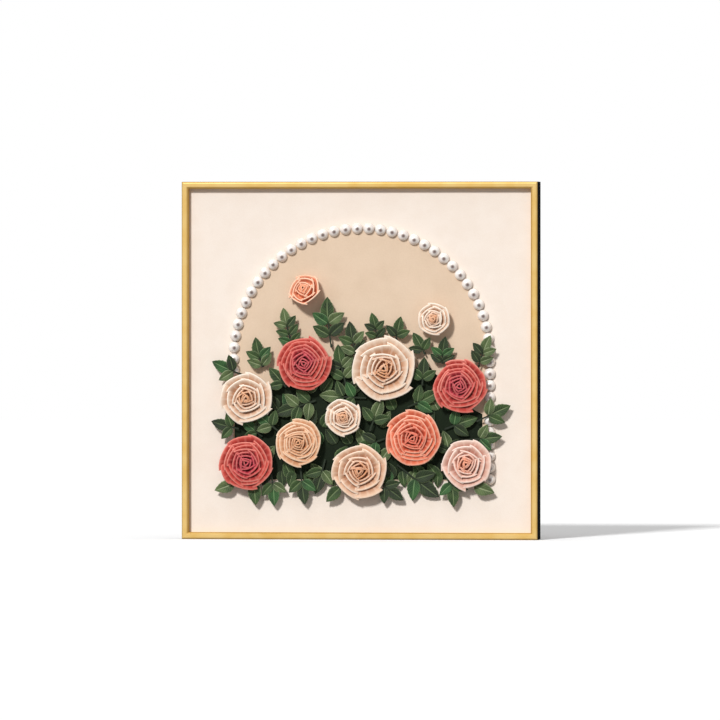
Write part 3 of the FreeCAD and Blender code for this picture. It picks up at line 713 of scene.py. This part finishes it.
def petal_rim(winding, petal, part, radius):
    """Angle, reach and rise of the strip's rim at a part, from 0 to 1, of one petal's length."""
    share, ring, start, span, (wide, high, skew), _ = petal
    from_middle = 2 * part - 1
    bend = from_middle * span * (1 + PETAL_OVERLAP) / 2
    chord = math.cos(span / 2) / math.cos(bend * FOLD_SOFTNESS)
    straight = chord + (1 - chord) * (ROUND_INNER + ROUND_ADDED * share)
    tip = 1 - winding["lip"] * LIP_ROOM / radius
    pinwheel = PINWHEEL_INNER - PINWHEEL_LOST * share + PINWHEEL_RAGGED * skew
    reach = ring * tip * radius * straight * (1 + RAGGED_REACH * wide)
    reach *= 1 - END_TUCK * abs(from_middle) ** 3 + pinwheel * from_middle
    first, last = winding["rise"]
    dip = winding["dip"] * from_middle ** 2 * (INNER_DIP + (1 - INNER_DIP) * share)
    rise = first + (last - first) * share + RAGGED_RISE * high - (dip - END_TILT * from_middle)
    return start + span / 2 + bend, reach, rise


def petal_section(winding, radius, share, reach, rise, row):
    """Radius and height on the strip's cross section: a cupped wall and a lip rolled outwards."""
    heart, base = winding["rings"][0] * radius * HEART_SHARE, FOOT_SHARE * radius
    low = (heart + (base - heart) * share, PETAL_BASE + SINK * (1 - share))
    rim = (reach, PETAL_BASE + rise)
    slant = math.dist(low, rim)
    up = ((rim[0] - low[0]) / slant, (rim[1] - low[1]) / slant)
    out = (up[1], -up[0])
    if row <= WALL_ROWS:
        part = row / WALL_ROWS
        cup = winding["cup"] * math.sin(math.pi * part)
        return (low[0] + up[0] * slant * part + out[0] * cup,
                low[1] + up[1] * slant * part + out[1] * cup)
    roll = LIP_ROLL * (row - WALL_ROWS) / LIP_ROWS
    lip = winding["lip"]
    return (rim[0] + out[0] * lip * (1 - math.cos(roll)) + up[0] * lip * math.sin(roll),
            rim[1] + out[1] * lip * (1 - math.cos(roll)) + up[1] * lip * math.sin(roll))


def wind_strip(rose, winding, radius, chance):
    """Fold and wind a flat grid of paper into the rose, petal by petal."""
    petals = petal_plan(winding, chance)
    columns, rows = len(petals) * (PETAL_COLUMNS + 1) - 1, WALL_ROWS + LIP_ROWS
    paper = bmesh.ops.create_grid(rose, x_segments=columns, y_segments=rows, size=0.5,
                                  calc_uvs=True)["verts"]
    strip, petal_map = rose.loops.layers.uv["strip"], rose.loops.layers.uv["petal"]
    for face in rose.faces:
        for loop in face.loops:
            petal, step = divmod(round(loop[strip].uv.x * columns), PETAL_COLUMNS + 1)
            loop[petal_map].uv = (step / PETAL_COLUMNS, petals[petal][-1])
    for vert in paper:
        column, row = round((vert.co.x + 0.5) * columns), round((vert.co.y + 0.5) * rows)
        petal, step = divmod(column, PETAL_COLUMNS + 1)
        angle, reach, rise = petal_rim(winding, petals[petal], step / PETAL_COLUMNS, radius)
        out, height = petal_section(winding, radius, petals[petal][0], reach, rise, row)
        vert.co = (out * math.cos(angle), out * math.sin(angle), height)
    return columns


def crease_petals(rose, columns):
    """Smooth paper with sharp folds where one petal ends and the next begins."""
    strip = rose.loops.layers.uv["strip"]
    for face in rose.faces:
        face.smooth = True
    for edge in rose.edges:
        steps = {round(loop[strip].uv.x * columns) % (PETAL_COLUMNS + 1) for face in edge.link_faces
                 for loop in face.loops if loop.vert in edge.verts}
        edge.smooth = not steps <= {0, PETAL_COLUMNS}


def make_rose(seed, node_name, winding, paper, slot, x, y, diameter, turn):
    """Wind one rose on its stem. A leaning bud turns about its foot, and its stem is cut level."""
    rose = bmesh.new()
    rose.loops.layers.uv.new("strip")
    rose.loops.layers.uv.new("petal")
    radius = diameter * ARCH_PERCENT / 2
    crease_petals(rose, wind_strip(rose, winding, radius, random.Random(seed)))
    base, lean = FOOT_SHARE * radius, math.radians(winding["lean"])
    depth = PETAL_BASE - CARD_TOP / MM + base * math.tan(lean)
    stem = bmesh.ops.create_cone(rose, cap_ends=False, segments=STEM_SIDES, radius1=base,
                                 radius2=base * STEM_TAPER, depth=depth)["verts"]
    bmesh.ops.translate(rose, verts=stem, vec=(0, 0, PETAL_BASE - depth / 2))
    spin = Matrix.Rotation(math.radians(turn), 3, "Z")
    hinge = Vector((math.cos(BUD_FACING + math.pi / 2), math.sin(BUD_FACING + math.pi / 2), 0))
    tilt = Matrix.Rotation(lean, 3, hinge)
    bmesh.ops.rotate(rose, verts=rose.verts[:], matrix=spin)
    bmesh.ops.rotate(rose, cent=(0, 0, PETAL_BASE), verts=rose.verts[:], matrix=tilt)
    bmesh.ops.translate(rose, verts=rose.verts[:], vec=(x * ARCH_PERCENT, y * ARCH_PERCENT, 0))
    for vert in stem:
        vert.co.z = max(vert.co.z, CARD_TOP / MM)
    stand_up(rose)
    piece = add_piece(node_name + "_petals", rose, [paper], node_name)
    paper_sheet = piece.modifiers.new("paper", "SOLIDIFY")
    paper_sheet.thickness = PETAL_PAPER * MM
    paper_sheet.offset = 0.0


for index, row in enumerate(ROSES):
    make_rose(index, *row)

# Studio: a white floor under the frame, a soft key light from high in front on the left, a wide
# weak one from above and an even white surround. The camera stands far off, a little to the right.
VIEW_SIDE = math.radians(6.0)
VIEW_RISE = math.radians(0.6)
VIEW_DISTANCE = 8.0
SENSOR = 36.0
PICTURE_WIDTH = 0.6235
AIM_SHIFT = Vector((0.7 * MM, 0.6 * MM))
VIEW_REACH = 100.0
SURROUND = 0.33
FLOOR_HALF = 6.0
FLOOR_BOUNCE = "#8A8A8A"
# Strength, softness in degrees, direction
KEY_LIGHT = 2.65, 8, Vector((0.32, 1.0, -0.68))
TOP_LIGHT = 0.8, 60, Vector((0.0, 0.0, -1.0))


def make_floor():
    floor = bmesh.new()
    bmesh.ops.create_grid(floor, x_segments=1, y_segments=1, size=FLOOR_HALF)
    bmesh.ops.translate(floor, verts=floor.verts[:], vec=(0.0, 0.0, FRAME_LOW.z))
    mesh = bpy.data.meshes.new("studio_floor")
    floor.to_mesh(mesh)
    floor.free()
    finish = Finish("studio_white", {"Roughness": 1.0, "Specular IOR Level": 0.0})
    finish.feed("Base Color", finish.blend(finish.seen(), tint(FLOOR_BOUNCE), tint("#FFFFFF")))
    mesh.materials.append(finish.material)
    piece = bpy.data.objects.new("studio_floor", mesh)
    bpy.context.scene.collection.objects.link(piece)


def make_surround():
    world = bpy.data.worlds.new("surround")
    surround = Wiring(world, "Background")
    surround.feed("Color", tint("#FFFFFF"))
    surround.feed("Strength", SURROUND + surround.seen() * (1 - SURROUND))
    bpy.context.scene.world = world


def add_sun(name, strength, softness, towards):
    sun = bpy.data.lights.new(name, "SUN")
    sun.energy = strength
    sun.angle = math.radians(softness)
    lamp = bpy.data.objects.new(name, sun)
    lamp.rotation_euler = towards.to_track_quat("-Z", "Y").to_euler()
    bpy.context.scene.collection.objects.link(lamp)


def make_camera():
    lens = bpy.data.cameras.new("camera")
    lens.sensor_width = SENSOR
    lens.lens = SENSOR * VIEW_DISTANCE / PICTURE_WIDTH
    lens.clip_end = VIEW_REACH
    camera = bpy.data.objects.new("camera", lens)
    target = Vector((AIM_SHIFT.x, FRAME_LOW.y, CENTRE_Z + AIM_SHIFT.y))
    level = Vector((math.sin(VIEW_SIDE), -math.cos(VIEW_SIDE), 0.0))
    away = level * math.cos(VIEW_RISE) + Vector((0.0, 0.0, math.sin(VIEW_RISE)))
    camera.location = target + away * VIEW_DISTANCE
    camera.rotation_euler = (-away).to_track_quat("-Z", "Y").to_euler()
    bpy.context.scene.collection.objects.link(camera)
    bpy.context.scene.camera = camera


make_floor()
make_surround()
add_sun("key_light", *KEY_LIGHT)
add_sun("top_light", *TOP_LIGHT)
make_camera()
bpy.context.scene.view_settings.view_transform = "Standard"
